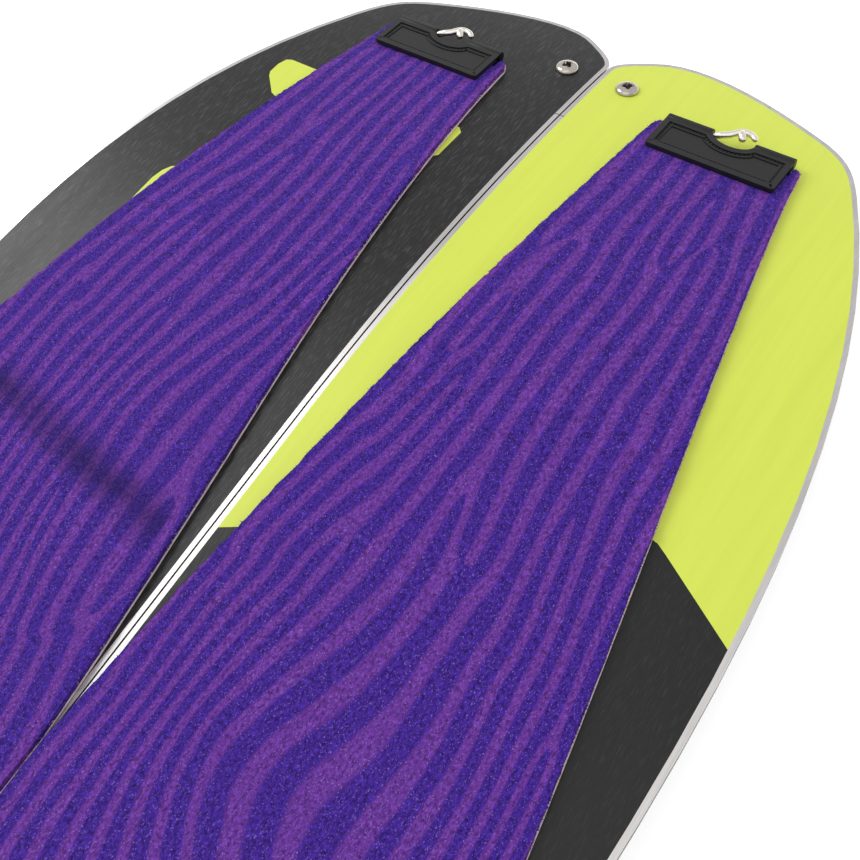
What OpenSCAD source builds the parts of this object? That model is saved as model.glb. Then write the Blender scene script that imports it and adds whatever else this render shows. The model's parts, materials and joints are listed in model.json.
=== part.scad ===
// Splitboard lying on its two tips, base side up, with a climbing skin on each half.
// +Y runs towards the nose, +X to the right half, +Z up out of the base; the floor is z = 0.
// All sizes are in millimetres.

/* [Board outline] */
// Half of the board length, nose tip to middle
half_length = 800; // [750:5:850]
// Half-width at the waist
waist_half = 127; // [120:0.5:135]
// How fast the nose half of the sidecut widens
nose_flare = 0.0000859; // [0.00006:0.0000001:0.0001]
// How fast the tail half of the sidecut widens
tail_flare = 0.0000524; // [0.00003:0.0000001:0.0001]
// Width of the tail end against the nose end
tail_width_ratio = 0.953; // [0.9:0.001:1]
// Gap from the seam plane to the inner steel edge
seam_gap = 0.3; // [0.3:0.05:1]

/* [Rocker] */
// Where the nose starts to curve, measured from the middle
nose_contact = 592.6; // [560:0.1:620]
// Radius of the nose curve
nose_radius = 733.5; // [500:0.5:900]
// Where the tail starts to curve, measured from the middle
tail_contact = 610; // [580:1:630]

/* [Layers] */
// Thickness of the running base
base_t = 1.4; // [1:0.1:2]
// Width of the steel edge head
edge_w = 1.7; // [1.5:0.1:3]
// Depth of the steel edge head
edge_t = 2.2; // [1.8:0.1:2.6]
// Reach of the buried edge flange past the head
flange_w = 4; // [3:0.1:6]
// Wood core thickness in the middle
core_mid = 5; // [4:0.1:7]
// Wood core thickness at the tips
core_tip = 2.6; // [2:0.1:4]
// Upper laminate thickness
lam_t = 0.7; // [0.4:0.1:1]
// Topsheet thickness
top_t = 0.5; // [0.3:0.1:1]
// Distance of the edge butt joint from the tip
butt_joint = 51.5; // [40:0.5:80]

/* [Inserts] */
// Distance of each foot's insert group from the middle
stance = 280; // [250:5:300]
// Spacing of insert rows along the board
row_pitch = 25.4; // [25.4:0.1:40]
// Spacing of the two insert columns
col_pitch = 38; // [30:1:45]
// Insert bore radius, for an M6 screw
insert_r = 3.05; // [3:0.01:3.3]

/* [Clips] */
// Clip bolt distance from the seam plane
clip_x = 13.3; // [12:0.1:18]
// Clip bolt distance from each tip
clip_in = 25.4; // [22:0.1:30]
// Centre clip distance from the seam plane
centre_x = 28; // [22:0.5:32]
// Centre clip distance from the middle of the board
centre_y = 110; // [90:5:140]

/* [Skins] */
// Gap drawn between the base and the skin glue
skin_gap = 0.3; // [0.3:0.1:0.6]
// Thickness of the glue layer
glue_t = 0.5; // [0.3:0.1:0.8]
// Thickness of the backing and pile
plush_t = 2.2; // [1.5:0.1:3]
// Steel left free along the outer edge
edge_free = 4; // [3:0.5:8]
// Nose plate centre from the seam plane
plate_x = 61; // [55:0.5:70]
// Nose plate width
plate_w = 49; // [45:1:60]
// Nose plate wire radius
wire_r = 1.25; // [1:0.05:1.5]
// Distance of the tail end of the skin from the tail tip
skin_end = 128; // [110:1:150]
// Width of the tail strap
strap_w = 18; // [14:1:24]

/* [Hidden] */
$fn = 40;
e = 0.01;
drop = pow(half_length - nose_contact, 2) / (2 * nose_radius);
tail_radius = pow(half_length - tail_contact, 2) / (2 * drop);
tip_t = edge_t + core_tip + lam_t + top_t;
mid_t = edge_t + core_mid + lam_t + top_t;
flat = drop + tip_t;
inset_all = edge_w + flange_w;
skin_top = skin_gap + glue_t + plush_t;

// ---- curves ----
function bz(a, b, c, d, t) =
  a*pow(1-t, 3) + 3*b*t*pow(1-t, 2) + 3*c*t*t*(1-t) + d*pow(t, 3);
function dir(a) = [cos(a), sin(a)];
function rev(v) = [for (i = [len(v)-1:-1:0]) v[i]];

// Height of the base against the flat middle, before it is cut into flat strips
function rise(y) = y > nose_contact ? -pow(y - nose_contact, 2) / (2 * nose_radius)
  : y < -tail_contact ? -pow(y + tail_contact, 2) / (2 * tail_radius) : 0;
function core_t(y) = let (a = abs(y))
  a < 560 ? core_mid : a > 740 ? core_tip : core_mid + (core_tip - core_mid)*(a - 560)/180;
nose_strips = concat([560, nose_contact], [for (v = [620:20:740]) v], [764, 786, half_length, 806]);
tail_strips = concat([560], [for (v = [tail_contact, 630, 650, 668, 686, 704, 722, 740]) v],
  [764, 786, half_length, 806]);
strips = concat([for (v = rev(tail_strips)) -v], nose_strips);
function seg(y, i = 0) = y <= strips[i+1] || i >= len(strips)-2 ? i : seg(y, i+1);
function slope(y) = let (i = seg(y))
  atan((rise(strips[i+1]) - rise(strips[i])) / (strips[i+1] - strips[i]));
function zf(y) = let (i = seg(y)) rise(strips[i]) + (y - strips[i])*tan(slope(y));

// Outline of one end, from the seam round the tip to the start of the sidecut
function end_curve(k, c) = let (
    e1 = [84.6, -13.6], e2 = [108.9, -36.9], p = [13.1, -4.4],
    d = [(waist_half + c*450*450)/k, -350], u = 2*c*450/k)
  concat(
    [for (i = [0:6]) bz([seam_gap/k, -17], [seam_gap/k, -11.5], [8.1, -7.7], p, i/7)],
    [for (i = [0:9]) bz(p, p + 18*dir(33.8), e1 - 30*dir(-22.5), e1, i/10)],
    [for (i = [0:7]) bz(e1, e1 + 14.5*dir(-22.5), e2 - 14.5*dir(-63), e2, i/8)],
    [for (i = [0:15]) bz(e2, e2 + 95*dir(-63), d + 140*[u, 1], d, i/16)]);
function level(v) = let (m = max([for (p = v) p[1]])) [for (p = v) [p[0], p[1] - m]];
nose_end = [for (p = level(end_curve(1, nose_flare))) [p[0], half_length + p[1]]];
tail_end = [for (p = level(end_curve(tail_width_ratio, tail_flare)))
  [p[0]*tail_width_ratio, -half_length - p[1]]];
function side(y) = waist_half + (y > 0 ? nose_flare : tail_flare)*y*y;
outline = concat(nose_end, [for (y = [450:-75:-450]) [side(y), y]], rev(tail_end));
function unit(v) = v / norm(v);
function inset(d) = let (n = len(outline)) [for (i = [0:n-1])
  let (t = i == 0 || i == n-1 ? [0, 1] : unit(outline[i+1] - outline[i-1]))
  outline[i] + d*[t[1], -t[0]]];

// ---- board layers, drawn for the right half ----
// A curved slab between two depths below the base; each depth may add the core thickness
module slab(a, ka, b, kb) translate([0, 0, flat]) rotate([90, 0, 90]) linear_extrude(170)
  polygon(concat([for (y = strips) [y, rise(y) - a - ka*core_t(y)]],
    [for (y = rev(strips)) [y, rise(y) - b - kb*core_t(y)]]));
module layer(d, a, ka, b, kb) intersection() {
  linear_extrude(60) polygon(inset(d));
  slab(a, ka, b, kb);
}
module ring(d0, d1, a, ka, b, kb) intersection() {
  linear_extrude(60) difference() { polygon(inset(d0)); polygon(inset(d1)); }
  slab(a, ka, b, kb);
}
module seam_zone(gap) translate([-1, -(half_length - butt_joint) - gap, -1])
  cube([12, 2*(half_length - butt_joint) + 2*gap, 80]);

// Frame standing on the base at one clip bolt, z out of the base
module at_base(x, y) translate([x, y, flat + zf(y)]) rotate([slope(y), 0, 0]) children();
clip_y = half_length - clip_in;
tn = tip_t*cos(slope(clip_y));
module bolt_holes(r) for (s = [-1, 1]) at_base(clip_x, s*clip_y)
  translate([0, 0, -12]) cylinder(r = r, h = 16);
cols = [63 - col_pitch/2, 63 + col_pitch/2];
spots = concat(
  [for (s = [-1, 1], x = cols, i = [-1:1]) [x, s*stance + i*row_pitch]],
  [for (x = cols, i = [-1, 1]) [x, 125 + i*19]],
  [for (x = cols) [x, -150]]);
module insert_holes() for (p = spots) translate([p[0], p[1], flat - mid_t - 1]) {
  cylinder(r = 4.55, h = mid_t - edge_t);
}
module flange_holes() for (p = spots) translate([p[0], p[1], flat - edge_t - 1.05])
  cylinder(r = 7.05, h = 3);
module centre_holes() for (s = [-1, 1]) translate([centre_x, s*centre_y, flat - mid_t - 1])
  cylinder(r = 2.55, h = 6);

module half_base() difference() {
  layer(edge_w, 0, 0, base_t, 0);
  bolt_holes(2.2);
}
module half_outer_edge() difference() {
  union() {
    ring(0, edge_w, 0, 0, edge_t, 0);
    ring(edge_w - 0.2, inset_all, base_t, 0, edge_t, 0);
  }
  seam_zone(0.15);
}
module half_inner_edge() intersection() {
  union() {
    ring(0, edge_w, 0, 0, edge_t, 0);
    ring(edge_w - 0.2, inset_all, base_t, 0, edge_t, 0);
  }
  seam_zone(-0.15);
}
module half_lower_laminate() difference() {
  layer(inset_all, base_t, 0, edge_t, 0);
  bolt_holes(2.2);
}
module half_core() difference() {
  layer(inset_all, edge_t, 0, edge_t, 1);
  bolt_holes(2.2);
  insert_holes();
  flange_holes();
  centre_holes();
}
module half_sidewall() ring(0, inset_all, edge_t, 0, edge_t, 1);
module half_upper_laminate() difference() {
  layer(0, edge_t, 1, edge_t + lam_t, 1);
  bolt_holes(2.2);
  insert_holes();
  centre_holes();
}
module half_topsheet() difference() {
  layer(0, edge_t + lam_t, 1, edge_t + lam_t + top_t, 1);
  bolt_holes(2.2);
  insert_holes();
  centre_holes();
}
module half_inserts() for (p = spots) translate([p[0], p[1], flat - mid_t]) difference() {
  union() {
    cylinder(r = 4.5, h = mid_t - edge_t);
    translate([0, 0, mid_t - edge_t - 1]) cylinder(r = 7, h = 1);
  }
  translate([0, 0, -1]) cylinder(r = insert_r, h = mid_t - edge_t - 0.2);
}
// Pan-head screw through the board, with a cross recess
module clip_bolt() difference() {
  union() {
    translate([0, 0, 0.03]) cylinder(r = 4.5, h = 1);
    translate([0, 0, 1.03]) cylinder(r1 = 4.5, r2 = 2.9, h = 1.1);
    translate([0, 0, -tn - 3]) cylinder(r = 2.1, h = tn + 3.1);
  }
  for (a = [0, 90]) rotate([0, 0, a + 45]) translate([-2.4, -0.55, 1.1]) cube([4.8, 1.1, 2]);
}
module half_clip_bolts() for (s = [-1, 1]) at_base(clip_x, s*clip_y) clip_bolt();

// Underside fittings; z points down out of the topsheet
module under(x, y) at_base(x, y)
  translate([0, 0, abs(y) > 500 ? -tn : -mid_t]) rotate([180, 0, 0]) children();
module spindle(neck, bored) difference() {
  union() {
    translate([0, 0, 0.05]) cylinder(r = 6, h = 0.85);
    translate([0, 0, 0.5]) cylinder(r = neck, h = 3.2);
    translate([0, 0, 3.5]) cylinder(r = 5, h = 1.1);
    if (!bored) translate([0, 0, -4.5]) cylinder(r = 2.5, h = 5);
  }
  if (bored) translate([0, 0, -1]) cylinder(r = 2.15, h = 4.5);
  if (!bored) translate([-3, -0.5, 3.9]) cube([6, 1, 2]);
}
// Swinging hook with a curved mouth; span is the distance from pivot to post
module swing_hook(span) translate([0, 0, 1.2]) linear_extrude(2) difference() {
  union() {
    circle(r = 6.2);
    translate([0, -4]) square([span, 8]);
    translate([span, 0]) circle(r = 6.8);
    translate([span - 1, 3]) square([5, 9]);
  }
  circle(r = 3.06);
  translate([span, 0]) circle(r = 2.9);
  intersection() {
    difference() { circle(r = span + 2.9); circle(r = span - 2.9); }
    polygon([[0, 0], [1.5*span, 0], [1.5*span, -0.6*span]]);
  }
}

// ---- skins, drawn for the right half ----
function skin_inner(y0) = [for (i = [0:10])
  bz([32.2, y0], [29.3, y0 - 66], [6, y0 - 211], [0.7, y0 - 289], i/10)];
function skin_outer(y0, y3) = let (x3 = side(y3) - edge_free,
    m = 2*(y3 > 0 ? nose_flare : tail_flare)*abs(y3))
  [for (i = [0:12]) bz([88, y0], [97, y0 - 63], [x3 - 95*m - 2, abs(y3) + 92],
    [x3, abs(y3)], i/12)];
nose_skin_y = half_length - 37;
front_y = nose_skin_y - 4.6; // behind the barrel of the nose plate
tail_skin_y = half_length - skin_end;
function round_in(p) = concat([[p[0][0] + 4, p[0][1]]], [[p[0][0] + 1, p[0][1] - 1.3]],
  [for (i = [1:len(p)-1]) p[i]]);
function round_out(p) = concat([[p[0][0] - 4, p[0][1]]], [[p[0][0] - 0.6, p[0][1] - 1.3]],
  [for (i = [1:len(p)-1]) p[i]]);
function ear(x, k) = [[x, front_y], [x, nose_skin_y - 0.4], [x + 0.8*k, nose_skin_y],
  [x + 2.1*k, nose_skin_y - 0.4], [x + 3*k, nose_skin_y - 1.6]];
in_n = concat(ear(plate_x - plate_w/2 - 0.3, -1), [[32.1, nose_skin_y - 4]],
  [for (i = [1:10]) skin_inner(nose_skin_y)[i]]);
out_n = concat(ear(plate_x + plate_w/2 + 0.3, 1), [[89.1, nose_skin_y - 5]],
  [for (i = [1:12]) skin_outer(nose_skin_y, nose_skin_y - 310)[i]]);
in_t = [for (p = round_in(skin_inner(tail_skin_y))) [p[0], -p[1]]];
out_t = [for (p = round_out(skin_outer(tail_skin_y, -(tail_skin_y - 310)))) [p[0], -p[1]]];
skin_plan = concat(in_n, rev(in_t), out_t,
  [for (y = [-270:90:360]) [side(y) - edge_free, y]], rev(out_n));
module skin_layer(a, b) intersection() {
  linear_extrude(60) polygon(skin_plan);
  slab(-b, 0, -a, 0);
}
module at_plate() at_base(plate_x, half_length - 36.8) children();
notch = concat([[-6.6, 4], [-6.6, -0.6]],
  [for (i = [0:8]) bz([-6.6, -0.6], [-4.2, -5.6], [7.4, -6.2], [9.4, -0.6], i/8)], [[9.4, 4]]);
module nose_plate() at_plate() difference() {
  union() {
    translate([-plate_w/2, -17.6, 2.96]) cube([plate_w, 17.6, 2]);
    translate([-plate_w/2, 0, 3.1]) rotate([0, 90, 0]) cylinder(r = 2.3, h = plate_w);
    translate([-plate_w/2, -4.5, 1]) cube([plate_w, 4.5, 3.5]);
  }
  translate([0, 0, -5]) linear_extrude(20) polygon(notch);
  translate([0, 0, 4.4]) linear_extrude(2) difference() {
    polygon([[-21.7, -14.8], [21.7, -14.8], [21.7, -2.8], [13.5, -2.8], [11, -5.2],
      [7, -7.2], [-4, -6.8], [-9.5, -4.6], [-12, -2.8], [-21.7, -2.8]]);
  }
  translate([-plate_w/2 + 2, 0, 3.1]) rotate([0, 90, 0]) cylinder(r = wire_r + 0.06, h = 22);
}
module rod(p, q, r) let (v = q - p, n = norm(v))
  translate(p) rotate([0, acos(v[2]/n), atan2(v[1], v[0])]) cylinder(r = r, h = n);
module bent(pts, r) {
  for (i = [0:len(pts)-2]) rod(pts[i], pts[i+1], r);
  for (i = [1:len(pts)-1]) translate(pts[i]) sphere(r = r + 0.06, $fn = 24);
}
module nose_hook() at_plate() {
  bent([[-22.1, 0, 3.1], [-5.5, 0, 3.1], [-1.5, 1.6, 4.5], [2, 4.2, 5.1], [7.6, 4.2, 4.7]],
    wire_r);
  bent([[2, 4.2, 5.1], [3.6, 1.4, 5.4]], wire_r);
}
// Tail fittings stand on the base at the cam pin
cam_s = 106;
module at_cam() at_base(plate_x, -(half_length - cam_s)) children();
module plan_bar(x0, x1, s0, s1, a, b) intersection() {
  translate([x0, -half_length + s0, 0]) cube([x1 - x0, s1 - s0, 60]);
  slab(-b, 0, -a, 0);
}
module tail_tab() union() {
  plan_bar(plate_x - 24, plate_x + 24, skin_end - 7, 150, skin_top + 0.02, skin_top + 1.8);
  plan_bar(plate_x - 24, plate_x + 24, skin_end - 7, skin_end - 0.3, 0.6, skin_top + 1);
  plan_bar(plate_x - 15, plate_x + 15, 93, skin_end - 6, 0.6, 1.6);
}
module tail_rivets() {
  for (x = [-17, 0, 17]) at_base(plate_x + x, -half_length + 141) {
    translate([0, 0, 0.4]) cylinder(r = 1.5, h = skin_top + 1.6);
    translate([0, 0, skin_top + 1.85]) cylinder(r1 = 3, r2 = 2, h = 0.9);
  }
  for (x = [-11.8, 11.8]) at_base(plate_x + x, -half_length + 98)
    {
      translate([0, 0, 0.45]) cylinder(r = 1.2, h = 2.5);
      translate([0, 0, 2.75]) cylinder(r1 = 1.5, r2 = 1.2, h = 0.5);
    }
}
module cam_frame() at_cam() difference() {
  union() {
    translate([-13.6, -11, 1.75]) cube([27.2, 22, 0.9]);
    for (s = [-1, 1]) translate([s*12.8 - 0.8, 0, 0]) {
      translate([0, -5, 1.75]) cube([1.6, 10, 7]);
      translate([0, 0, 8.75]) rotate([0, 90, 0]) cylinder(r = 4, h = 1.6);
    }
  }
  translate([-20, 0, 8.75]) rotate([0, 90, 0]) cylinder(r = 1.5, h = 40);
}
module cam_pin() at_cam() translate([-14.4, 0, 8.75]) rotate([0, 90, 0]) cylinder(r = 1.48, h = 28.8);
module cam_lever() at_cam() difference() {
  union() {
    translate([-11.5, 0, 8.75]) rotate([0, 90, 0]) cylinder(r = 3.2, h = 23);
    translate([-11.5, 0, 8.4]) cube([23, 28, 2.2]);
    translate([-11.5, 26, 8.4]) cube([23, 3, 3]);
  }
  translate([-20, 0, 8.75]) rotate([0, 90, 0]) cylinder(r = 1.54, h = 40);
}
module tail_strap() plan_bar(plate_x - strap_w/2, plate_x + strap_w/2, 8, 119.5, 3.05, 5.2);
module tail_hook() {
  plan_bar(plate_x - 8, plate_x + 8, 0.9, 26, 5.22, 6.6);
  intersection() {
    translate([plate_x - 8, -half_length + 0.9, 0]) cube([16, 1.4, 60]);
    slab(-6.6, 0, 5, 0);
  }
}
module hook_rivet() at_base(plate_x, -half_length + 19) {
  translate([0, 0, 2.9]) cylinder(r = 1.4, h = 3.8);
  translate([0, 0, 6.3]) cylinder(r1 = 3, r2 = 2, h = 1);
}

// ---- left half ----
module front_line() polygon([[0, 549], [96, 609.5], [103, 612.8], [109, 614.1], [114, 614.2],
  [117, 613.8], [120.5, 612], [160, 590], [170, 820], [0, 820]]);
module bars() {
  polygon([[27.2, 706], [25.8, 707.4], [25.8, 721.6], [28, 723.6], [110.4, 723.3], [112.6, 722.2],
    [113.7, 718.5], [113.4, 713.2], [112, 711], [104.2, 703.6], [102, 702.8], [60, 703.5]]);
  polygon([[60, 622], [62, 655.6], [108.6, 655.2], [111.6, 653.2], [113.4, 650], [114.3, 645.5],
    [114.2, 634], [112.5, 630.8], [104, 622]]);
}
module on_left() mirror([1, 0, 0]) children();

module left_base() color("#26262a") on_left() difference() {
  half_base();
  linear_extrude(60) bars();
}
module left_base_inlays() color("#d7e34a") on_left() intersection() {
  half_base();
  linear_extrude(60) bars();
}
module left_outer_edge() color("#b9b9bc") on_left() half_outer_edge();
module left_inner_edge() color("#c6c6c8") on_left() half_inner_edge();
module left_lower_laminate() color("#c9c19a") on_left() half_lower_laminate();
module left_core() color("#caa877") on_left() half_core();
module left_sidewall() color("#1c1c1e") on_left() half_sidewall();
module left_upper_laminate() color("#c9c19a") on_left() half_upper_laminate();
module left_topsheet() color("#30323a") on_left() half_topsheet();
module left_inserts() color("#9a9a9d") on_left() half_inserts();
module left_clip_bolts() color("#c9c9cc") on_left() half_clip_bolts();
module left_hook_pivots() color("#b4b4b8") {
  for (s = [-1, 1]) under(-clip_x, s*clip_y) spindle(3, true);
  for (s = [-1, 1]) under(-centre_x, s*centre_y) spindle(3, false);
}

// ---- right half ----
module right_base_front() color("#dfe85c") intersection() {
  half_base();
  linear_extrude(60) front_line();
}
module right_base_rear() color("#232326") difference() {
  half_base();
  linear_extrude(60) front_line();
}
module right_outer_edge() color("#b9b9bc") half_outer_edge();
module right_inner_edge() color("#c6c6c8") half_inner_edge();
module right_lower_laminate() color("#c9c19a") half_lower_laminate();
module right_core() color("#caa877") half_core();
module right_sidewall() color("#1c1c1e") half_sidewall();
module right_upper_laminate() color("#c9c19a") half_upper_laminate();
module right_topsheet() color("#30323a") half_topsheet();
module right_inserts() color("#9a9a9d") half_inserts();
module right_clip_bolts() color("#c9c9cc") half_clip_bolts();
module right_hook_posts() color("#b4b4b8") {
  for (s = [-1, 1]) under(clip_x, s*clip_y) spindle(2.5, true);
  for (s = [-1, 1]) under(centre_x, s*centre_y) spindle(2.5, false);
}

// ---- clip hooks, swung open along the left half ----
module nose_clip_hook() color("#8d8f94") under(-clip_x, clip_y)
  rotate([0, 0, 90]) swing_hook(2*clip_x);
module front_centre_hook() color("#8d8f94") under(-centre_x, centre_y)
  rotate([0, 0, 90]) swing_hook(2*centre_x);
module rear_centre_hook() color("#8d8f94") under(-centre_x, -centre_y)
  rotate([0, 0, 90]) swing_hook(2*centre_x);
module tail_clip_hook() color("#8d8f94") under(-clip_x, -clip_y)
  mirror([0, 1, 0]) rotate([0, 0, 90]) swing_hook(2*clip_x);

// ---- left skin ----
module to_left() translate([-2*plate_x, 0, 0]) children();
module left_skin_plush() color("#4a2492") on_left() skin_layer(skin_gap + glue_t, skin_top);
module left_skin_glue() color("#d8c8c0") on_left() skin_layer(skin_gap, skin_gap + glue_t);
module left_nose_plate() color("#2b2b2e") to_left() nose_plate();
module left_nose_hook() color("#d2cfc8") to_left() nose_hook();
module left_tail_tab() color("#2b2b2e") to_left() tail_tab();
module left_tail_rivets() color("#c0c0c2") to_left() tail_rivets();
module left_cam_frame() color("#a9a9ad") to_left() cam_frame();
module left_cam_lever() color("#333338") to_left() cam_lever();
module left_cam_pin() color("#c0c0c2") to_left() cam_pin();
module left_tail_strap() color("#3a3a3d") to_left() tail_strap();
module left_tail_hook() color("#b4b4b8") to_left() tail_hook();
module left_hook_rivet() color("#c0c0c2") to_left() hook_rivet();

// ---- right skin ----
module right_skin_plush() color("#4a2492") skin_layer(skin_gap + glue_t, skin_top);
module right_skin_glue() color("#d8c8c0") skin_layer(skin_gap, skin_gap + glue_t);
module right_nose_plate() color("#2b2b2e") nose_plate();
module right_nose_hook() color("#d2cfc8") nose_hook();
module right_tail_tab() color("#2b2b2e") tail_tab();
module right_tail_rivets() color("#c0c0c2") tail_rivets();
module right_cam_frame() color("#a9a9ad") cam_frame();
module right_cam_lever() color("#333338") cam_lever();
module right_cam_pin() color("#c0c0c2") cam_pin();
module right_tail_strap() color("#3a3a3d") tail_strap();
module right_tail_hook() color("#b4b4b8") tail_hook();
module right_hook_rivet() color("#c0c0c2") hook_rivet();

left_base();
left_base_inlays();
left_outer_edge();
left_inner_edge();
left_lower_laminate();
left_core();
left_sidewall();
left_upper_laminate();
left_topsheet();
left_inserts();
left_clip_bolts();
left_hook_pivots();
right_base_front();
right_base_rear();
right_outer_edge();
right_inner_edge();
right_lower_laminate();
right_core();
right_sidewall();
right_upper_laminate();
right_topsheet();
right_inserts();
right_clip_bolts();
right_hook_posts();
nose_clip_hook();
front_centre_hook();
rear_centre_hook();
tail_clip_hook();
left_skin_plush();
left_skin_glue();
left_nose_plate();
left_nose_hook();
left_tail_tab();
left_tail_rivets();
left_cam_frame();
left_cam_lever();
left_cam_pin();
left_tail_strap();
left_tail_hook();
left_hook_rivet();
right_skin_plush();
right_skin_glue();
right_nose_plate();
right_nose_hook();
right_tail_tab();
right_tail_rivets();
right_cam_frame();
right_cam_lever();
right_cam_pin();
right_tail_strap();
right_tail_hook();
right_hook_rivet();
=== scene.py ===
import json
import math
import random
import bmesh
import bpy
from mathutils import Matrix, Vector, noise


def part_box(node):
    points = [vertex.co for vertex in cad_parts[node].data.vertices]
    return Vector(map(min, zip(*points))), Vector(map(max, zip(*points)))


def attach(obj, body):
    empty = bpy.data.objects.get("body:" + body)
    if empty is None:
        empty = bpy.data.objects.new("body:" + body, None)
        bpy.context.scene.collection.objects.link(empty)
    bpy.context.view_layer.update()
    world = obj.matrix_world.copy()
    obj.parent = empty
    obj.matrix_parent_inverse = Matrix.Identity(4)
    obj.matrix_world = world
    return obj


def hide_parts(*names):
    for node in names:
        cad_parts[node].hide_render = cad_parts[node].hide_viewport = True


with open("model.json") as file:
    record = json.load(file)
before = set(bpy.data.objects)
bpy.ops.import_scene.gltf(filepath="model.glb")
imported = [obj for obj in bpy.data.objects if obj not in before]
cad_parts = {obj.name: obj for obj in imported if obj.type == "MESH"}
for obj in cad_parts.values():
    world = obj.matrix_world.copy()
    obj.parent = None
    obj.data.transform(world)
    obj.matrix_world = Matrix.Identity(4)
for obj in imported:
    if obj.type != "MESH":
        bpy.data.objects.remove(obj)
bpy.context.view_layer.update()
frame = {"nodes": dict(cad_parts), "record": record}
rand = random.Random(11)
mm = 0.001

# ---- the board's own measures, in metres ----
half_length = 0.8
nose_contact, nose_radius = 0.5926, 0.7335
tail_contact = 0.61
drop = (half_length - nose_contact) ** 2 / (2 * nose_radius)
tail_radius = (half_length - tail_contact) ** 2 / (2 * drop)
base_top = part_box("left_base")[1].z
plate_x = 0.061
glue_top = 0.8 * mm
skin_top = 3.0 * mm
screw_x, screw_y = 13.3 * mm, 0.7746
plate_y, cam_y = 0.7632, -0.694
detailed_from = 0.3  # the nose part of a skin, where its edges are cut finer

# ---- nose plate measures, in mm from the middle of its barrel's axis ----
plate_half, barrel_r, barrel_z = 24.5, 2.3, 3.1
plate_low, plate_high, rim_high, ridge_high = 2.96, 4.2, 4.96, 4.62
notch_left, notch_right, front = -6.6, 9.4, -0.6
wire_r = 1.2


def rise(y):
    """Height of the running base against its flat middle."""
    if y > nose_contact:
        return -((y - nose_contact) ** 2) / (2 * nose_radius)
    if y < -tail_contact:
        return -((y + tail_contact) ** 2) / (2 * tail_radius)
    return 0.0


nose_strips = [560, 592.6, 620, 640, 660, 680, 700, 720, 740, 764, 786, 800, 806]
tail_strips = [560, 610, 630, 650, 668, 686, 704, 722, 740, 764, 786, 800, 806]
strips = [-v * mm for v in reversed(tail_strips)] + [v * mm for v in nose_strips]


def strip_at(y):
    for a, b in zip(strips, strips[1:]):
        if y <= b or b == strips[-1]:
            return a, b


def flat_rise(y):
    a, b = strip_at(y)
    return rise(a) + (y - a) * (rise(b) - rise(a)) / (b - a)


def stand(x, y):
    """Frame on the base at x, y: Z out of the base, Y along the strip."""
    a, b = strip_at(y)
    turn = math.atan((rise(b) - rise(a)) / (b - a))
    return Matrix.Translation((x, y, base_top + flat_rise(y))) @ Matrix.Rotation(turn, 4, "X")


# ---- camera and light ----
def look():
    right = Vector((0.80582, 0.56478, -0.17798)).normalized()
    back = Vector((0.38978, -0.27962, 0.87743)).normalized()
    up = back.cross(right).normalized()
    right = up.cross(back)
    cam = bpy.data.cameras.new("camera")
    cam.lens, cam.sensor_width = 43.66, 36
    cam.clip_start, cam.clip_end = 0.01, 40
    ob = bpy.data.objects.new("camera", cam)
    ob.matrix_world = Matrix.Translation((0.1653, 0.5208, 0.2815 + base_top)) @ Matrix(
        (right, up, back)).transposed().to_4x4()
    bpy.context.scene.collection.objects.link(ob)
    bpy.context.scene.camera = ob


def soft_light(name, place, aim, size, power):
    lamp = bpy.data.lights.new(name, "AREA")
    lamp.shape, lamp.size, lamp.energy = "SQUARE", size, power
    ob = bpy.data.objects.new(name, lamp)
    ob.location = place
    ob.rotation_euler = (Vector(aim) - Vector(place)).to_track_quat("-Z", "Y").to_euler()
    bpy.context.scene.collection.objects.link(ob)


look()
soft_light("window", (-1.30, 0.78, 1.20), (0.0, 0.6, 0.03), 0.9, 12)
soft_light("overhead", (0.2, -0.2, 2.2), (0.0, 0.1, 0.0), 2.2, 7)
bpy.context.scene.view_settings.view_transform = "Standard"
world = bpy.data.worlds.new("studio")
bpy.context.scene.world = world
world.use_nodes = True
world.node_tree.nodes["Background"].inputs["Color"].default_value = (1, 1, 1, 1)
world.node_tree.nodes["Background"].inputs["Strength"].default_value = 0.80


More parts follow.
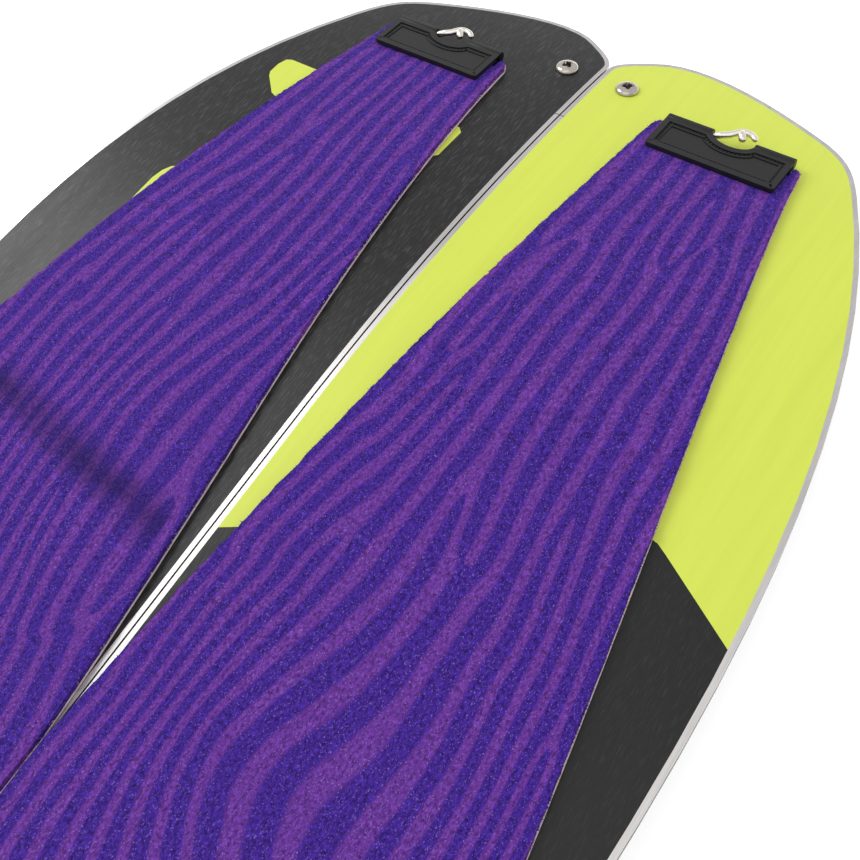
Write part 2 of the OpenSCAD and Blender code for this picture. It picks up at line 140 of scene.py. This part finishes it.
# ---- finishes ----
class Finish:
    """A material with the few nodes its look needs."""

    def __init__(self, name, colour, rough, metal=0.0, **sockets):
        self.mat = bpy.data.materials.new(name)
        self.mat.use_nodes = True
        self.tree = self.mat.node_tree
        self.out = self.tree.nodes["Principled BSDF"]
        self.out.inputs["Base Color"].default_value = (*colour, 1)
        self.out.inputs["Roughness"].default_value = rough
        self.out.inputs["Metallic"].default_value = metal
        for key, value in sockets.items():
            self.out.inputs[key.replace("_", " ")].default_value = value
        self.height = None

    def add(self, kind, **values):
        n = self.tree.nodes.new("ShaderNode" + kind)
        for key, value in values.items():
            setattr(n, key, value)
        return n

    def link(self, a, b):
        self.tree.links.new(a, b)

    def place(self, scale=(1, 1, 1)):
        """The piece's own coordinates, stretched by scale."""
        m = self.add("Mapping")
        m.inputs["Scale"].default_value = scale
        self.link(self.add("TexCoord").outputs["Object"], m.inputs["Vector"])
        return m.outputs["Vector"]

    def speckle(self, where, scale=1.0, detail=2.0, rough=0.5):
        n = self.add("TexNoise")
        n.inputs["Scale"].default_value = scale
        n.inputs["Detail"].default_value = detail
        n.inputs["Roughness"].default_value = rough
        self.link(where, n.inputs["Vector"])
        return n.outputs["Fac"]

    def between(self, value, low, high, a=0.0, b=1.0):
        n = self.add("MapRange")
        for key, v in zip(("From Min", "From Max", "To Min", "To Max"), (low, high, a, b)):
            n.inputs[key].default_value = v
        self.link(value, n.inputs["Value"])
        return n.outputs["Result"]

    def math(self, op, a, b=0.0):
        n = self.add("Math", operation=op)
        for i, v in enumerate((a, b)):
            if isinstance(v, (int, float)):
                n.inputs[i].default_value = v
            else:
                self.link(v, n.inputs[i])
        return n.outputs[0]

    def mix(self, fac, a, b):
        n = self.add("Mix", data_type="RGBA")
        for socket, v in ((n.inputs[0], fac), (n.inputs[6], a), (n.inputs[7], b)):
            if isinstance(v, tuple):
                socket.default_value = (*v, 1)
            elif isinstance(v, (int, float)):
                socket.default_value = v
            else:
                self.link(v, socket)
        return n.outputs[2]

    def paint(self, colour):
        self.link(colour, self.out.inputs["Base Color"])

    def gloss(self, value):
        self.link(value, self.out.inputs["Roughness"])

    def relief(self, height, strength, depth):
        n = self.add("Bump")
        n.inputs["Strength"].default_value = strength
        n.inputs["Distance"].default_value = depth
        self.link(height, n.inputs["Height"])
        if self.height is not None:
            self.link(self.height, n.inputs["Normal"])
        self.height = n.outputs["Normal"]
        self.link(self.height, self.out.inputs["Normal"])


def ground_base(name, deep, pale, rough, shine, streak):
    """Sintered base plastic with the fine lengthwise marks of a stone grind."""
    f = Finish(name, deep, rough, Specular_IOR_Level=shine)
    fine = f.speckle(f.place((2300, 210, 60)), 1, 2, 0.6)
    broad = f.speckle(f.place((260, 14, 10)), 1, 3, 0.6)
    dust = f.speckle(f.place((24, 16, 16)), 1, 4, 0.6)
    side = f.add("SeparateXYZ")
    f.link(f.place(), side.inputs[0])
    # the right half is ground more lightly than the left
    lighter = f.between(side.outputs["X"], -0.02, 0.03, 1.0, 0.25)
    marks = f.math("MULTIPLY", f.between(fine, 0.52, 0.76), lighter)
    body = f.mix(f.between(broad, 0.3, 0.7), deep, tuple(c * 1.06 for c in deep))
    f.paint(f.mix(f.math("MULTIPLY", marks, streak), body, pale))
    f.gloss(f.between(f.math("ADD", f.math("MULTIPLY", broad, 0.6), f.math("MULTIPLY", dust, 0.4)),
        0.3, 0.7, rough - 0.06, rough + 0.08))
    f.relief(fine, 0.3, 0.00012)
    f.relief(broad, 0.06, 0.0003)
    return f.mat


def plush_finish():
    """Short directional pile printed with wandering stripes that meet and part."""
    f = Finish("plush pile", (0.044, 0.013, 0.24), 0.95, Specular_IOR_Level=0.15,
        Sheen_Weight=0.10, Sheen_Roughness=0.4, Sheen_Tint=(0.62, 0.45, 0.95, 1))
    pos = f.add("SeparateXYZ")
    f.link(f.place(), pos.inputs[0])
    x, y = pos.outputs["X"], pos.outputs["Y"]
    # the stripes leave the plate side by side and spread with the skin
    fan = f.between(y, 0.44, 0.765, 1.95, 1.0)
    sway = f.math("SUBTRACT", f.speckle(f.place((7.5, 5.5, 1)), 1, 1.0, 0.4), 0.5)
    drift = f.math("MULTIPLY", sway, f.between(y, 0.50, 0.74, 0.062, 0.012))
    across = f.math("DIVIDE", f.math("SUBTRACT", f.math("ABSOLUTE", x), plate_x), fan)
    flow = f.add("CombineXYZ")
    f.link(f.math("MULTIPLY", f.math("ADD", across, drift), 56.0), flow.inputs["X"])
    f.link(f.math("ADD", f.math("MULTIPLY", y, 19.0), f.math("SIGN", x)), flow.inputs["Y"])
    waves = f.add("TexGabor", gabor_type="2D")
    f.link(flow.outputs[0], waves.inputs["Vector"])
    waves.inputs["Scale"].default_value = 1.0
    f.link(f.math("MULTIPLY", fan, 2.3), waves.inputs["Frequency"])
    waves.inputs["Anisotropy"].default_value = 0.93
    waves.inputs[4].default_value = 0.0
    clump = f.speckle(f.place((1000, 620, 500)), 1, 3, 0.6)
    tuft = f.speckle(f.place((2900, 1700, 1500)), 1, 2, 0.6)
    soft = f.speckle(f.place((60, 30, 30)), 1, 3, 0.6)
    off = f.math("ABSOLUTE", f.math("SUBTRACT", waves.outputs["Phase"], 0.5))
    off = f.math("ADD", off, f.math("MULTIPLY", f.math("SUBTRACT", clump, 0.5), 0.30))
    wide = f.between(soft, 0.3, 0.7, 0.16, 0.28)
    mask = f.between(f.math("SUBTRACT", off, wide), -0.035, 0.035, 1.0, 0.0)
    grain = f.between(clump, 0.32, 0.68)
    tone = f.mix(mask, f.mix(grain, (0.021, 0.005, 0.125), (0.076, 0.026, 0.390)),
        f.mix(grain, (0.068, 0.014, 0.165), (0.200, 0.056, 0.450)))
    # painted highlight: pale specks on the pile's highest tufts stand for glints of light on the fibres
    painted_glint = f.math("MULTIPLY", f.between(tuft, 0.60, 0.70), 0.6)
    tone = f.mix(painted_glint, tone, (0.40, 0.25, 0.70))
    # painted shade: darker specks where the pile's bump is lowest, in the hollows between tufts
    painted_hollow_shade = f.math("MULTIPLY", f.between(tuft, 0.40, 0.30), 0.5)
    tone = f.mix(painted_hollow_shade, tone, (0.014, 0.005, 0.075))
    # a row of soft dark blotches across the left skin, darkest along a slanted line
    spots = f.speckle(f.place((34, 60, 1)), 1, 2, 0.5)
    rowy = f.math("SUBTRACT", y, f.math("ADD", f.math("MULTIPLY", x, -0.12), 0.5385))
    near = f.between(f.math("ABSOLUTE", rowy), 0.001, 0.0105, 1.0, 0.0)
    inside = f.math("MULTIPLY", f.math("LESS_THAN", x, -0.012), f.math("GREATER_THAN", x, -0.103))
    dark_blotch_row = f.math("MULTIPLY", f.math("MULTIPLY", near, inside), f.between(spots, 0.3, 0.7, 0.3, 0.75))
    f.paint(f.mix(dark_blotch_row, tone, (0.012, 0.006, 0.06)))
    f.relief(tuft, 0.75, 0.0007)
    f.relief(clump, 0.6, 0.0011)
    return f.mat


def plain(name, colour, rough, metal=0.0, grain=(400, 400, 400), shade=0.25, bump=0.15, depth=0.0002,
    spread=0.08, **sockets):
    """A finish with a little grain in its colour, gloss and surface."""
    f = Finish(name, colour, rough, metal, **sockets)
    a = f.speckle(f.place(grain), 1, 3, 0.6)
    b = f.speckle(f.place(tuple(g * 0.12 for g in grain)), 1, 3, 0.6)
    dark = tuple(c * (1 - shade) for c in colour)
    light = tuple(min(1, c * (1 + shade)) for c in colour)
    f.paint(f.mix(f.between(f.math("ADD", f.math("MULTIPLY", a, 0.5), f.math("MULTIPLY", b, 0.5)),
        0.35, 0.65), dark, light))
    f.gloss(f.between(b, 0.3, 0.7, max(0.05, rough - spread), rough + spread))
    f.relief(a, bump, depth)
    return f.mat


finish = {
    "base_black": ground_base("black running base", (0.009, 0.009, 0.0095), (0.085, 0.085, 0.088),
        0.36, 0.32, 0.75),
    "base_lime": ground_base("lime running base", (0.60, 0.69, 0.080), (0.66, 0.74, 0.16),
        0.45, 0.4, 0.2),
    "edge_steel": plain("ground edge steel", (0.60, 0.58, 0.57), 0.34, 1.0, (1800, 90, 1800),
        0.10, 0.05),
    "laminate": plain("glass fibre laminate", (0.5, 0.46, 0.3), 0.45, 0, (900, 900, 900), 0.2, 0.1),
    "core_wood": plain("wood core strips", (0.55, 0.36, 0.18), 0.6, 0, (220, 14, 220), 0.35, 0.3),
    "sidewall_abs": plain("sidewall plastic", (0.022, 0.022, 0.024), 0.42, 0, (120, 700, 300),
        0.3, 0.2),
    "insert_steel": plain("insert steel", (0.5, 0.5, 0.5), 0.34, 1.0, (900, 900, 900), 0.15, 0.1),
    "screw_steel": plain("polished screw steel", (0.52, 0.48, 0.43), 0.17, 1.0, (500, 500, 500),
        0.25, 0.08),
    "clip_alloy": plain("anodised clip alloy", (0.22, 0.23, 0.25), 0.36, 1.0, (1200, 300, 900),
        0.15, 0.1),
    "plush": plush_finish(),
    "glue": plain("skin backing and glue", (0.80, 0.64, 0.60), 0.55, 0, (900, 900, 900), 0.15, 0.3),
    "moulded_rubber": plain("moulded black rubber", (0.0085, 0.0082, 0.0085), 0.36, 0, (1500, 1500, 1500),
        0.35, 0.3, 0.00012, Specular_IOR_Level=0.35),
    "wire": plain("bright hook wire", (0.80, 0.76, 0.70), 0.16, 1.0, (500, 500, 500), 0.06, 0.03),
    "rivet": plain("rivet alloy", (0.62, 0.62, 0.62), 0.28, 1.0, (900, 900, 900), 0.1, 0.05),
    "stamped_steel": plain("stamped steel sheet", (0.52, 0.52, 0.52), 0.33, 1.0, (300, 1500, 600),
        0.12, 0.1),
    "lever_plastic": plain("lever plastic", (0.022, 0.022, 0.024), 0.4, 0, (1300, 1300, 1300),
        0.3, 0.25),
    "strap_rubber": plain("strap rubber", (0.03, 0.03, 0.032), 0.5, 0, (1100, 1100, 1100), 0.3, 0.3),
}


def topsheet_finish():
    """Matt dark topsheet with a quiet pattern of contour lines."""
    f = Finish("matt topsheet", (0.03, 0.034, 0.045), 0.48)
    hills = f.speckle(f.place((9, 3.2, 1)), 1, 2, 0.45)
    line = f.math("ABSOLUTE", f.math("SINE", f.math("MULTIPLY", hills, 62.0)))
    skin = f.speckle(f.place((1400, 1400, 1400)), 1, 2, 0.6)
    ink = f.between(line, 0.05, 0.14, 1.0, 0.0)
    body = f.mix(f.between(hills, 0.35, 0.65), (0.026, 0.030, 0.042), (0.045, 0.05, 0.062))
    f.paint(f.mix(f.math("MULTIPLY", ink, 0.7), body, (0.13, 0.07, 0.30)))
    f.gloss(f.between(skin, 0.3, 0.7, 0.42, 0.56))
    f.relief(skin, 0.2, 0.0001)
    return f.mat


finish["topsheet"] = topsheet_finish()
# dark steel that paints shade in the screw recesses and under the screw heads
finish["shade_painted_steel"] = plain("steel painted dark as shade", (0.045, 0.04, 0.036), 0.4, 1.0,
    (700, 700, 700), 0.3, 0.1)
slots = {s["node"]: s["material_slot"] for s in frame["record"]["subparts"]}
body_of = {n: b for b, ns in frame["record"]["behaviour"]["bodies"].items() for n in ns}
for node, ob in frame["nodes"].items():
    ob.data.materials.clear()
    ob.data.materials.append(finish[slots[node]])


# ---- making pieces ----
def soften(bm, angle=28):
    for f in bm.faces:
        f.smooth = True
    for e in bm.edges:
        e.smooth = len(e.link_faces) == 2 and e.calc_face_angle(3.0) < math.radians(angle)


def make(name, bm, slot, body, stands_for=(), angle=28, second=None):
    soften(bm, angle)
    mesh = bpy.data.meshes.new(name)
    bm.to_mesh(mesh)
    bm.free()
    mesh.materials.append(finish[slot])
    if second:
        mesh.materials.append(finish[second])
    ob = bpy.data.objects.new(name, mesh)
    bpy.context.scene.collection.objects.link(ob)
    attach(ob, body)
    if stands_for:
        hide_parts(*stands_for)
    return ob


def gather(total, small):
    """Adds a small shape to a larger one and frees it."""
    mesh = bpy.data.meshes.new("bit")
    small.to_mesh(mesh)
    small.free()
    total.from_mesh(mesh)
    bpy.data.meshes.remove(mesh)


def copied(node):
    bm = bmesh.new()
    bm.from_mesh(frame["nodes"][node].data)
    bmesh.ops.remove_doubles(bm, verts=bm.verts, dist=2e-6)
    return bm


def cut_at(bm, y):
    bmesh.ops.bisect_plane(bm, geom=bm.verts[:] + bm.edges[:] + bm.faces[:], dist=1e-6,
        plane_co=(0, y, 0), plane_no=(0, 1, 0))


def roll(bm, step=6 * mm):
    """Turns the flat strips of nose and tail into one smooth curve."""
    for start, end in ((nose_contact, half_length), (-half_length, -tail_contact)):
        n = int((end - start) / step)
        for i in range(1, n):
            cut_at(bm, start + (end - start) * i / n)
    for v in bm.verts:
        v.co.z += rise(v.co.y) - flat_rise(v.co.y)


def eased(node, width, segments=2, angle=35):
    """The CAD piece with its hard corners rounded."""
    bm = copied(node)
    bmesh.ops.dissolve_limit(bm, angle_limit=0.01, verts=bm.verts, edges=bm.edges)
    ob = make(node + ".eased", bm, slots[node], body_of[node], (node,), angle)
    b = ob.modifiers.new("eased corners", "BEVEL")
    b.width, b.segments, b.limit_method, b.angle_limit = width, segments, "ANGLE", math.radians(angle)
    b.harden_normals = False
    return ob


def sweep(bm, stations, segments=24):
    """Rings of given radius along a path, bridged and closed at both ends. A station is (point, radius)."""
    pts = [Vector(p) for p, r in stations]
    side = None
    last = None
    for i, (p, r) in enumerate(stations):
        ahead = (pts[min(i + 1, len(pts) - 1)] - pts[max(i - 1, 0)]).normalized()
        if side is None:
            side = ahead.orthogonal().normalized()
        side = (side - ahead * side.dot(ahead)).normalized()
        turn = Matrix((side, ahead.cross(side), ahead)).transposed().to_4x4()
        ring = bmesh.ops.create_circle(bm, cap_ends=i in (0, len(stations) - 1), radius=r,
            segments=segments, matrix=Matrix.Translation(pts[i]) @ turn)
        edges = list({e for v in ring["verts"] for e in v.link_edges})
        if last:
            bmesh.ops.bridge_loops(bm, edges=last + edges)
        last = edges
    bmesh.ops.recalc_face_normals(bm, faces=bm.faces)


def smooth_path(points, count):
    """A curve through the points, evenly sampled (Catmull-Rom)."""
    p = [Vector(q) for q in points]
    p = [2 * p[0] - p[1]] + p + [2 * p[-1] - p[-2]]
    out = []
    for i in range(1, len(p) - 2):
        for k in range(count):
            t = k / count
            out.append(0.5 * (2 * p[i] + (p[i + 1] - p[i - 1]) * t
                + (2 * p[i - 1] - 5 * p[i] + 4 * p[i + 1] - p[i + 2]) * t * t
                + (3 * p[i] - p[i - 1] - 3 * p[i + 1] + p[i + 2]) * t ** 3))
    return out + [p[-2]]


# ---- board ----
for node in ("left_base", "left_base_inlays", "right_base_front", "right_base_rear", "left_outer_edge",
    "right_outer_edge", "left_inner_edge", "right_inner_edge", "left_sidewall", "right_sidewall",
    "left_upper_laminate", "right_upper_laminate", "left_topsheet", "right_topsheet"):
    bm = copied(node)
    roll(bm)
    make(node + ".rolled", bm, slots[node], body_of[node], (node,))


# ---- clip screws ----
def pan_head(side, end):
    """Domed screw head with a four-lobed recess, and its shank through the board."""
    shank = 8.72
    profile = [(-shank, 2.0, 0), (0.02, 2.0, 0), (0.03, 4.35, 0), (0.35, 4.5, 0), (0.8, 4.46, 0),
        (1.25, 4.2, 0), (1.6, 3.75, 0), (1.86, 3.1, 0), (2.0, 2.5, 0), (2.06, 1.95, 0.22), (1.9, 1.8, 0.3),
        (1.0, 1.35, 0.36), (0.75, 0.3, 0)]
    bm = bmesh.new()
    last = None
    for i, (z, r, lobe) in enumerate(profile):
        ring = bmesh.ops.create_circle(bm, cap_ends=i in (0, len(profile) - 1), radius=r * mm, segments=48,
            matrix=Matrix.Translation((0, 0, z * mm)))["verts"]
        for v in ring:
            swell = 1 + lobe * math.cos(4 * math.atan2(v.co.y, v.co.x))
            v.co.x, v.co.y = v.co.x * swell, v.co.y * swell
        edges = list({e for v in ring for e in v.link_edges})
        if last:
            bmesh.ops.bridge_loops(bm, edges=last + edges)
        last = edges
    bmesh.ops.recalc_face_normals(bm, faces=bm.faces)
    # the lobed recess and the thin ring at the head's foot take the second, dark steel: painted shade in
    # the recess and under the head
    for f in bm.faces:
        reach = f.calc_center_median().to_2d().length
        high = f.calc_center_median().z
        f.material_index = int(high > 0 and (reach < 1.9 * mm or high < 0.3 * mm))
    bm.transform(stand(side * screw_x, end * screw_y) @ Matrix.Rotation(0.6 * side * end, 4, "Z"))
    return bm


for side, name in ((-1, "left"), (1, "right")):
    both = pan_head(side, 1)
    gather(both, pan_head(side, -1))
    make(name + "_pan_head_screws", both, "screw_steel", name + "_half", (name + "_clip_bolts",),
        second="shade_painted_steel")


# ---- skins ----
def wall_of(v):
    """The sideways normal at a cut edge, or None inside the sheet."""
    n = Vector()
    for f in v.link_faces:
        if abs(f.normal.z) < 0.5:
            n += f.normal
    return n.normalized() if n.length > 0.1 else None


def is_wall(face):
    return abs(face.normal.z) < 0.5


def cut_edges(bm):
    """The edges where a sheet's flat side meets its cut side."""
    return [e for e in bm.edges
        if len(e.link_faces) == 2 and is_wall(e.link_faces[0]) != is_wall(e.link_faces[1])]


def hair(bm, foot, aim, long, thick, tip, shift=0.0):
    """A thin three-sided spike standing at foot along aim."""
    turn = aim.to_track_quat("Z", "Y").to_matrix().to_4x4()
    bmesh.ops.create_cone(bm, cap_ends=True, segments=3, radius1=thick * mm, radius2=tip * mm,
        depth=long, matrix=Matrix.Translation(foot) @ turn @ Matrix.Translation((0, 0, shift)))


def skin(side):
    """One skin: the plush sheet with roughened cut edges, loose pile, threads and its backing."""
    node = side + "_skin_plush"
    bm = copied(node)
    roll(bm, 5 * mm)
    for i in range(-54, 49):
        cut_at(bm, i * 12 * mm)
    bm.normal_update()
    near = [e for e in cut_edges(bm) if e.verts[0].co.y > detailed_from]
    bmesh.ops.subdivide_edges(bm, edges=near, cuts=3)
    bm.normal_update()
    walls = {v: wall_of(v) for v in bm.verts}
    low = {v: v.co.z < base_top + rise(v.co.y) + (glue_top + skin_top) / 2 for v in bm.verts}
    for v, n in walls.items():
        if n is None:
            continue
        wob = 0.35 * noise.noise(v.co * 900) + 0.30 * noise.noise(v.co * 260)
        v.co += n * (wob - (0 if low[v] else 0.15)) * mm * (0.4 if low[v] else 1.0)
        if not low[v]:
            v.co.z -= 0.35 * mm * (1 + noise.noise(v.co * 500))
    # loose pile standing out of the cut edges
    pile = bmesh.new()
    threads = bmesh.new()
    for e in cut_edges(bm):
        if low[e.verts[0]] or low[e.verts[1]]:
            continue
        a, b = (v.co.copy() for v in e.verts)
        out = walls[e.verts[0]] or walls[e.verts[1]]
        few = bmesh.new()
        for k in range(max(1, round((a - b).length / ((0.5 if a.y > detailed_from else 3.0) * mm)))):
            p = a.lerp(b, rand.random()) - Vector((0, 0, rand.uniform(0.0, 1.5) * mm))
            p = p - out * 0.1 * mm
            aim = out + Vector((rand.uniform(-0.7, 0.7), rand.uniform(-0.9, 0.5), rand.uniform(-0.2, 0.7)))
            long = rand.uniform(0.5, 1.2) * mm
            hair(few, p, aim, long, 0.17, 0.02, long / 3)
        gather(pile, few)
        # pale threads, fewer along the right skin's seam edge
        if a.y < detailed_from or out.x < 0 and side == "right" and rand.random() < 0.6:
            continue
        frayed = bmesh.new()
        for k in range(rand.randint(0, 2)):
            p = a.lerp(b, rand.random()) + out * 0.15 * mm
            p.z = base_top + rise(p.y) + rand.uniform(0.5, 1.9) * mm
            aim = out + Vector((rand.uniform(-0.8, 0.8), rand.uniform(-0.9, 0.9), rand.uniform(-0.1, 0.9)))
            long = rand.uniform(0.3, 0.9) * mm
            hair(frayed, p, aim, long, 0.13, 0.05)
        gather(threads, frayed)
    tufts = make(side + "_skin_edge_pile", pile, "plush", side + "_skin")
    frays = make(side + "_skin_edge_threads", threads, "glue", side + "_skin")
    sheet = make(side + "_skin_cloth", bm, "plush", side + "_skin", (node,), 50)
    # the backing shows as a pale line past the pile
    bm = copied(side + "_skin_glue")
    roll(bm)
    bm.normal_update()
    past = {v: wall_of(v) for v in bm.verts}
    for v, n in past.items():
        if n is not None:
            v.co += n * 0.3 * mm
    make(side + "_skin_backing", bm, "glue", side + "_skin", (side + "_skin_glue",))


for side in ("left", "right"):
    skin(side)


# ---- nose plates ----
def plate_outline():
    """Plan of the plate: a long rectangle, its rear corners rounded, with a notch in its front edge."""
    pts = []
    for cx, cy, start in ((-23.3, -16.4, 180), (23.3, -16.4, 270)):
        pts += [(cx + 1.2 * math.cos(math.radians(start + a)), cy + 1.2 * math.sin(math.radians(start + a)))
            for a in (0, 30, 60, 90)]
    pts += [(plate_half, front), (notch_right, front)]
    for i in range(1, 16):
        t = i / 16
        s = 1 - t
        pts.append((notch_right * s ** 3 + 3 * 7.4 * s * s * t - 3 * 4.2 * s * t * t + notch_left * t ** 3,
            front * s ** 3 - 3 * 6.2 * s * s * t - 3 * 5.6 * s * t * t + front * t ** 3))
    return pts + [(notch_left, front), (-plate_half, front)]


def shrink(points, d):
    """A closed outline moved inwards by d."""
    out = []
    n = len(points)
    for i in range(n):
        a, p, b = Vector(points[i - 1]), Vector(points[i]), Vector(points[(i + 1) % n])
        u, v = (p - a).normalized(), (b - p).normalized()
        m = Vector((-u.y, u.x)) + Vector((-v.y, v.x))
        m = m.normalized() / max(0.35, math.cos(0.5 * u.angle(v)))
        out.append(tuple(p + m * d))
    return out


def lift(bm, faces, vec):
    """Extrudes the faces and moves the new ones by vec."""
    up = bmesh.ops.extrude_face_region(bm, geom=faces)
    moved = [v for v in up["geom"] if isinstance(v, bmesh.types.BMVert)]
    bmesh.ops.translate(bm, vec=vec, verts=moved)


def ribbon(bm, points, width, low, high):
    """A flat raised band of constant width along a closed line."""
    a, b = points, shrink(points, width)
    loops = []
    for ring in (a, b):
        vs = [bm.verts.new((x * mm, y * mm, low * mm)) for x, y in ring]
        loops.append([bm.edges.new((vs[i - 1], vs[i])) for i in range(len(vs))])
    faces = bmesh.ops.bridge_loops(bm, edges=loops[0] + loops[1])["faces"]
    lift(bm, faces, (0, 0, (high - low) * mm))


def nose_plate(side, x):
    where = stand(x, plate_y)
    outline = plate_outline()
    slab = bmesh.new()
    face = slab.faces.new([slab.verts.new((px * mm, py * mm, plate_low * mm)) for px, py in outline])
    lift(slab, [face], (0, 0, 1.35 * mm))
    rim = bmesh.new()
    ribbon(rim, outline, 2.3, plate_high, rim_high)
    inner = bmesh.new()
    ribbon(inner, shrink(outline, 3.2), 0.75, plate_high, ridge_high)
    # a dotted line of stitches between rim and ridge
    stitches = bmesh.new()
    stitch_step = 1.5
    path = [Vector((*p, 0)) for p in shrink(outline, 2.75)]
    path.append(path[0])
    run = 0.0
    for a, b in zip(path, path[1:]):
        length = (b - a).length
        while run < length:
            p = a.lerp(b, run / length)
            turn = math.atan2(b.y - a.y, b.x - a.x)
            made = bmesh.ops.create_cube(stitches, size=1)
            bmesh.ops.scale(stitches, vec=(1.0 * mm, 0.6 * mm, 0.5 * mm), verts=made["verts"])
            bmesh.ops.rotate(stitches, verts=made["verts"], cent=(0, 0, 0),
                matrix=Matrix.Rotation(turn, 3, "Z"))
            bmesh.ops.translate(stitches, verts=made["verts"], vec=(p.x * mm, p.y * mm, 4.44 * mm))
            run += stitch_step
        run -= length
    barrels = bmesh.new()
    for a, b in ((-plate_half, notch_left), (notch_right, plate_half)):
        # a ribbed round bar on either side of the notch, and the web that joins it to the plate
        ring = bmesh.ops.create_circle(barrels, cap_ends=True, radius=barrel_r * mm, segments=56)
        for v in ring["verts"]:
            t = math.degrees(math.atan2(v.co.x, -v.co.y)) % 360
            dip = sum(math.exp(-(((t - c) / 7.0) ** 2)) for c in (78, 112, 146))
            v.co *= 1 - 0.13 * dip
        bmesh.ops.rotate(barrels, verts=ring["verts"], cent=(0, 0, 0),
            matrix=Matrix(((0, 0, 1), (0, -1, 0), (1, 0, 0))))
        faces = list({f for v in ring["verts"] for f in v.link_faces})
        bmesh.ops.translate(barrels, verts=ring["verts"], vec=(a * mm, 0, barrel_z * mm))
        lift(barrels, faces, ((b - a) * mm, 0, 0))
        made = bmesh.ops.create_cube(barrels, size=1)
        bmesh.ops.scale(barrels, vec=((b - a) * mm, 3.0 * mm, 3.3 * mm), verts=made["verts"])
        bmesh.ops.translate(barrels, verts=made["verts"], vec=((a + b) / 2 * mm, -2.2 * mm, 2.75 * mm))
    names = ("panel", "rim", "inner_ridge", "stitches", "barrels")
    for part, bm, ease in zip(names, (slab, rim, inner, stitches, barrels), (0.2, 0.5, 0.25, 0.12, 0.25)):
        bmesh.ops.recalc_face_normals(bm, faces=bm.faces)
        bm.transform(where)
        ob = make(f"{side}_plate_{part}", bm, "moulded_rubber", side + "_skin",
            (side + "_nose_plate",) if part == "panel" else ())
        b = ob.modifiers.new("eased corners", "BEVEL")
        b.width, b.segments, b.limit_method, b.angle_limit = ease * mm, 3, "ANGLE", math.radians(40)


def nose_wire(side, x):
    """Bright wire out of the left barrel, a wave across the notch, and a short loose stub."""
    where = stand(x, plate_y)
    line = smooth_path([(-22, 0, 3.1), (-12, 0, 3.1), (-7.6, 0, 3.1), (-5.4, 0.2, 3.35), (-3.4, 0.8, 4.1),
        (-1.2, 1.8, 4.5), (0.6, 3.3, 4.9), (2.2, 4.5, 5.2), (4.4, 5.0, 5.2), (6.4, 4.6, 5.1),
        (7.6, 3.8, 4.9)], 7)
    stub = smooth_path([(2.7, 4.5, 5.1), (2.8, 3.4, 5.4), (3.3, 2.4, 5.4), (3.9, 1.6, 5.0)], 6)
    bm = bmesh.new()
    for path, swell in ((line, 0.0), (stub, 0.3)):
        wire = [(p * mm, (wire_r + swell * i / len(path)) * mm) for i, p in enumerate(path)]
        for end in (0, -1):
            a, thick = wire[end]
            out = (a - wire[1 if end == 0 else -2][0]).normalized()
            caps = [(a + out * thick * math.sin(t), thick * math.cos(t)) for t in (0.4, 0.8, 1.15, 1.4)]
            wire = list(reversed(caps)) + wire if end == 0 else wire + caps
        sweep(bm, wire, 20)
    bm.transform(where)
    make(side + "_hook_wire", bm, "wire", side + "_nose_wire", (side + "_nose_hook",), 60)


for side, x in (("left", -plate_x), ("right", plate_x)):
    nose_plate(side, x)
    nose_wire(side, x)


def bar(total, size, ease, where):
    """Adds one small bar with eased edges."""
    one = bmesh.new()
    bmesh.ops.create_cube(one, size=1)
    bmesh.ops.scale(one, vec=size, verts=one.verts)
    bmesh.ops.bevel(one, geom=one.edges[:], offset=ease, segments=2, profile=0.5, affect="EDGES",
        material=-1)
    one.transform(where)
    gather(total, one)


# ---- tail fittings and underside clips ----
for side, x in (("left", -plate_x), ("right", plate_x)):
    for part, width in (("tail_tab", 0.45), ("cam_frame", 0.25), ("cam_lever", 0.7), ("tail_strap", 0.5),
        ("tail_hook", 0.35), ("tail_rivets", 0.25), ("hook_rivet", 0.3), ("cam_pin", 0.3)):
        eased(f"{side}_{part}", width * mm)
    ribs = bmesh.new()
    s = 30.0
    while s < 97:
        where = stand(x, -half_length + s * mm) @ Matrix.Translation((0, 0, 5.25 * mm))
        bar(ribs, (14 * mm, 1.3 * mm, 0.8 * mm), 0.25 * mm, where)
        s += 2.6
    make(side + "_strap_ribs", ribs, "strap_rubber", side + "_strap")
    grips = bmesh.new()
    for k in range(4):
        where = stand(x, cam_y) @ Matrix.Translation((0, (13 + 3 * k) * mm, 10.6 * mm))
        bar(grips, (18 * mm, 1.1 * mm, 0.9 * mm), 0.3 * mm, where)
    make(side + "_lever_grip", grips, "lever_plastic", side + "_lever")

for node, width in (("nose_clip_hook", 0.4), ("tail_clip_hook", 0.4), ("front_centre_hook", 0.4),
    ("rear_centre_hook", 0.4), ("left_hook_pivots", 0.3), ("right_hook_posts", 0.3)):
    eased(node, width * mm)

# ---- floor ----
ground = bmesh.new()
bmesh.ops.create_grid(ground, x_segments=2, y_segments=2, size=9)
mesh = bpy.data.meshes.new("floor")
ground.to_mesh(mesh)
ground.free()
floor = bpy.data.objects.new("floor", mesh)
bpy.context.scene.collection.objects.link(floor)
pale = plain("pale floor", (0.95, 0.95, 0.95), 0.95, 0, (3, 3, 3), 0.01, 0.02)
glow = pale.node_tree.nodes["Principled BSDF"].inputs
glow["Emission Color"].default_value = (1, 1, 1, 1)
glow["Emission Strength"].default_value = 0.5
mesh.materials.append(pale)
